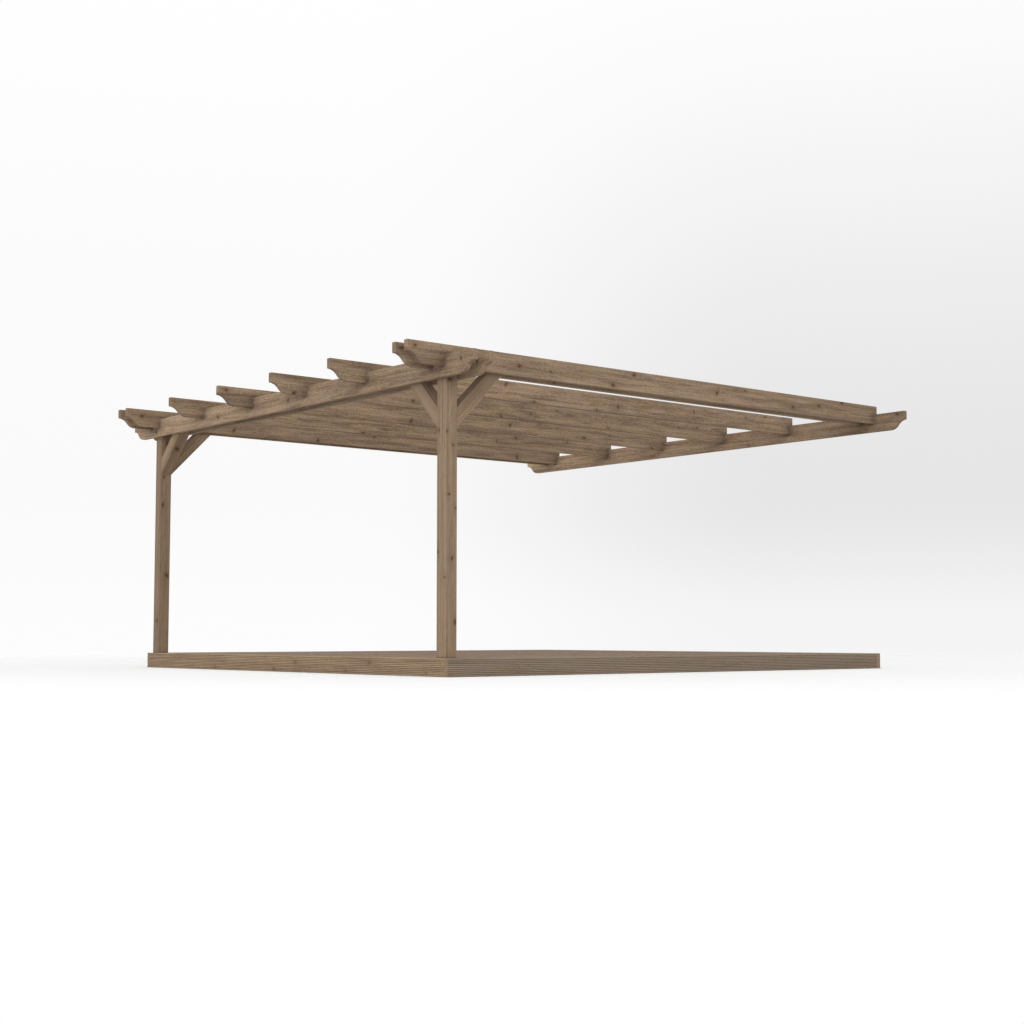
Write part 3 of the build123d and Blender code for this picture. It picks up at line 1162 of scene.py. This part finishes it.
def lay_deck_boards():
    """All boards of the deck as one piece, each with its own grain, and the screws that hold them."""
    low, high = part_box("deck_boards")
    reach = high.y - low.y + DECK_BOARD_GAP
    boards = round(reach / DECK_BOARD_PITCH)
    pitch = reach / boards
    width = pitch - DECK_BOARD_GAP
    columns = (DECK_REEDING["Reeds"] - 1) * DECK_REED_COLUMNS + 2 * DECK_MARGIN_COLUMNS
    profile_step = width / columns
    first_reed = DECK_MARGIN_COLUMNS * profile_step
    reed_pitch = DECK_REED_COLUMNS * profile_step
    piece = grow(
        "deck_boards_reeded",
        REEDED_BOARDS,
        {
            **DECK_REEDING,
            "Length": high.x - low.x,
            "Width": width,
            "Thickness": high.z - low.z,
            "Profile step": profile_step,
            "First reed": first_reed,
            "Reed pitch": reed_pitch,
            "Boards": boards,
            "Board pitch": pitch,
            "Finish": wood["deck_board_wood"],
        },
    )
    piece.data.transform(Matrix.Translation(((low.x + high.x) / 2, low.y + width / 2, low.z)))
    shade_evenly(piece, REED_SHARP_ANGLE)
    timbers = []
    for number in range(boards):
        front = low.y + number * pitch
        corners = [Vector((low.x, front, low.z)), Vector((high.x, front + width, high.z))]
        count = len(timber_numbers) + 1 + number
        lengths = DECK_REEDING["Lengths"]
        timbers.append(Timber(f"board {number}", corners, X, Z, count, lengths, BOARD_TONE_SPREAD))
    settle_wood(piece.data, lambda point: timbers[min(boards - 1, int((point.y - low.y) / pitch))])
    hand_over(piece, "deck_board_wood", "deck_boards")

    joist_boxes = [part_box(node) for node in frame["nodes"] if node.startswith("deck_joist")]
    joists = sorted((left.x + right.x) / 2 for left, right in joist_boxes)
    screws = grow(
        "deck_screws",
        DECK_SCREWS,
        {
            **SCREW_SHAPE,
            "Joists": len(joists),
            "Joist pitch": (joists[-1] - joists[0]) / (len(joists) - 1),
            "Boards": boards,
            "Board pitch": pitch,
            "Pair apart": width - 2 * first_reed - 2 * reed_pitch,
            "Finish": screw_steel,
        },
    )
    first_screw = low.y + first_reed + reed_pitch
    screws.data.transform(Matrix.Translation((joists[0], first_screw, high.z - SCREW_SINK)))
    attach(screws, "root")


def set_fascia(node, along, outward, finish):
    """A reeded board on edge, its grooves facing outwards."""
    low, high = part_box(node)
    thickness = abs((high - low).dot(outward))
    piece = grow(
        f"{node}_reeded",
        REEDED_BOARDS,
        {
            **FASCIA_REEDING,
            "Length": abs((high - low).dot(along)),
            "Width": high.z - low.z,
            "Thickness": thickness,
            "Finish": finish,
        },
    )
    back = (low + high) / 2 - outward * thickness / 2
    turn = Matrix((along, Z, outward)).transposed().to_4x4()
    piece.data.transform(Matrix.Translation(back) @ turn)
    timber = timber_of(node)
    shape = bmesh.new()
    shape.from_mesh(piece.data)
    cut_between_knots(shape, timber)
    write_out(shape, piece.data)
    shade_evenly(piece, REED_SHARP_ANGLE)
    settle_wood(piece.data, lambda point: timber)
    hand_over(piece, "fascia_wood", node)


lay_deck_boards()
set_fascia("deck_front_fascia", X, -Y, wood["fascia_wood"])
set_fascia("deck_back_fascia", -X, Y, wood["fascia_wood"])
set_fascia("deck_right_fascia", Y, X, wood["side_fascia_wood"])
set_fascia("deck_left_fascia", -Y, -X, wood["side_fascia_wood"])


# Stage, light and camera


def seen_directly(wiring):
    """One where the surface or the world is seen by the camera, also through a mirror or glass."""
    path = wiring.node("ShaderNodeLightPath").outputs
    seen = wiring.calc("MAXIMUM", path["Is Camera Ray"], path["Is Glossy Ray"])
    return wiring.calc("MAXIMUM", seen, path["Is Transmission Ray"])


def add_floor():
    """A wide pale floor that fades out for the eye, also from below, and still bounces light."""
    shape = bmesh.new()
    bmesh.ops.create_circle(shape, cap_ends=True, segments=FLOOR_SIDES, radius=FLOOR_RADIUS)
    mesh = write_out(shape, bpy.data.meshes.new("floor"))
    material, wiring, surface = new_material("pale_floor")
    seen = seen_directly(wiring)
    away = wiring.vector("LENGTH", wiring.node("ShaderNodeTexCoord").outputs["Object"])
    below = wiring.node("ShaderNodeNewGeometry").outputs["Backfacing"]
    gone = wiring.calc("MAXIMUM", wiring.ramp(away, *FLOOR_FADE), below)
    looks = {
        "Base Color": wiring.blend(seen, FLOOR_BOUNCE, FLOOR_SEEN),
        "Roughness": 1.0,
        "Specular IOR Level": 0.0,
        "Alpha": wiring.calc("SUBTRACT", 1.0, gone * seen),
    }
    wiring.feed_all(surface, looks)
    mesh.materials.append(material)
    new_piece("floor", mesh)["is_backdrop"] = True


def add_world():
    """Even white light from all round, seen as a pale wall that is dimmer low down and to the right."""
    world = bpy.data.worlds.new("studio")
    bpy.context.scene.world = world
    world.use_nodes = True
    wiring = Wiring(world.node_tree)
    light = world.node_tree.nodes["Background"]
    wiring.feed_all(light, {"Color": WHITE, "Strength": DOME_LIGHT})
    way = wiring.node("ShaderNodeTexCoord").outputs["Generated"]
    sideways = wiring.vector("DOT_PRODUCT", way, CAMERA_RIGHT)
    aside = wiring.ramp(sideways, *WALL_ASIDE, WALL_DIP, WALL_DIP + WALL_FALL)
    rise = wiring.split(way)[2]
    above = wiring.ramp(rise, *WALL_HIGH) * wiring.ramp(rise, *WALL_LOW, WALL_LOW_SHARE)
    dip = above * wiring.ramp(rise, *WALL_FOOT)
    seen_wall = wiring.calc("SUBTRACT", 1.0, aside * dip)
    wall = wiring.node("ShaderNodeBackground", {"Color": WHITE, "Strength": seen_wall})
    parts = {0: seen_directly(wiring), 1: light.outputs[0], 2: wall.outputs[0]}
    both = wiring.result("ShaderNodeMixShader", parts)
    wiring.feed_all(world.node_tree.nodes["World Output"], {"Surface": both})


def add_key_light():
    """One broad soft lamp, high in front and to the right."""
    lamp = bpy.data.lights.new("key_light", "AREA")
    lamp.energy = KEY_WATTS
    lamp.size = KEY_SIDE
    light = new_piece("key_light", lamp)
    light.visible_camera = False
    turn = KEY_PLACE.to_track_quat("Z", "Y").to_matrix().to_4x4()
    light.matrix_world = Matrix.Translation(KEY_PLACE) @ turn


def add_camera():
    """The photograph's own view: low, from the right of the front."""
    view = bpy.data.cameras.new("photo_view")
    view.sensor_width = SENSOR_WIDTH
    view.lens = CAMERA_LENS
    view.clip_end = CAMERA_REACH
    camera = new_piece("photo_view", view)
    turn = Matrix((CAMERA_RIGHT, CAMERA_UP, -CAMERA_SIGHT)).transposed().to_4x4()
    camera.matrix_world = Matrix.Translation(CAMERA_PLACE) @ turn
    bpy.context.scene.camera = camera


add_floor()
add_world()
add_key_light()
add_camera()
bpy.context.scene.view_settings.view_transform = "Standard"

boxes = {"cad": cad_box, "visual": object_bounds()}
{name: [list(corner) for corner in box] for name, box in boxes.items()}
